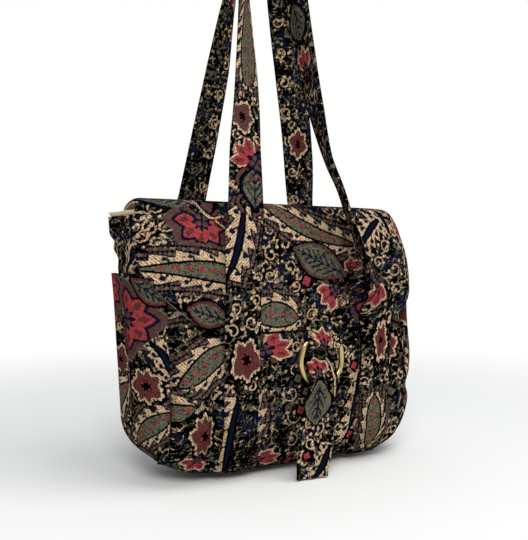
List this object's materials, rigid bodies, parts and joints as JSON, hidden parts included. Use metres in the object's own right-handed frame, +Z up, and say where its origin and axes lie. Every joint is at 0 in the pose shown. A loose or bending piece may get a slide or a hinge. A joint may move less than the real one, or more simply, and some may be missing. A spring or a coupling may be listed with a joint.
{
  "type": "tapestry handbag",
  "caption": "Soft two-handled tapestry handbag with a rounded flap, open side and front pockets, and a strap drawn through a hanging metal ring.",
  "frame": {"origin": "middle of the base, on the surface that the bag rests on", "axes": "+Z up along the handles, +Y from the front (flap side) to the back, +X across the bag to the right seen from the front"},
  "size_m": [0.33, 0.1692, 0.6019],
  "materials": {
    "tapestry": "woven",
    "lining": "woven",
    "ring_brass": "polished"
  },
  "bodies": {
    "bag": {"front_panel": "tapestry", "back_panel": "tapestry", "gusset_left": "tapestry", "gusset_right": "tapestry", "base_panel": "tapestry", "lining_front": "lining", "lining_back": "lining", "lining_left": "lining", "lining_right": "lining", "lining_base": "lining", "side_pocket_left": "tapestry", "side_pocket_right": "tapestry", "front_pocket": "tapestry", "flap": "tapestry", "flap_lining": "lining", "front_handle": "tapestry", "back_handle": "tapestry", "ring_tab": "tapestry", "closure_tail": "tapestry"},
    "ring": {"d_ring": "ring_brass"}
  },
  "joints": [
    {"name": "ring_swing", "type": "hinge", "parent": "bag", "child": "ring", "pos_m": [0.018, -0.07437, 0.131], "axis": [0.9945, 0, -0.1045], "range_deg": [0, 5]}
  ]
}
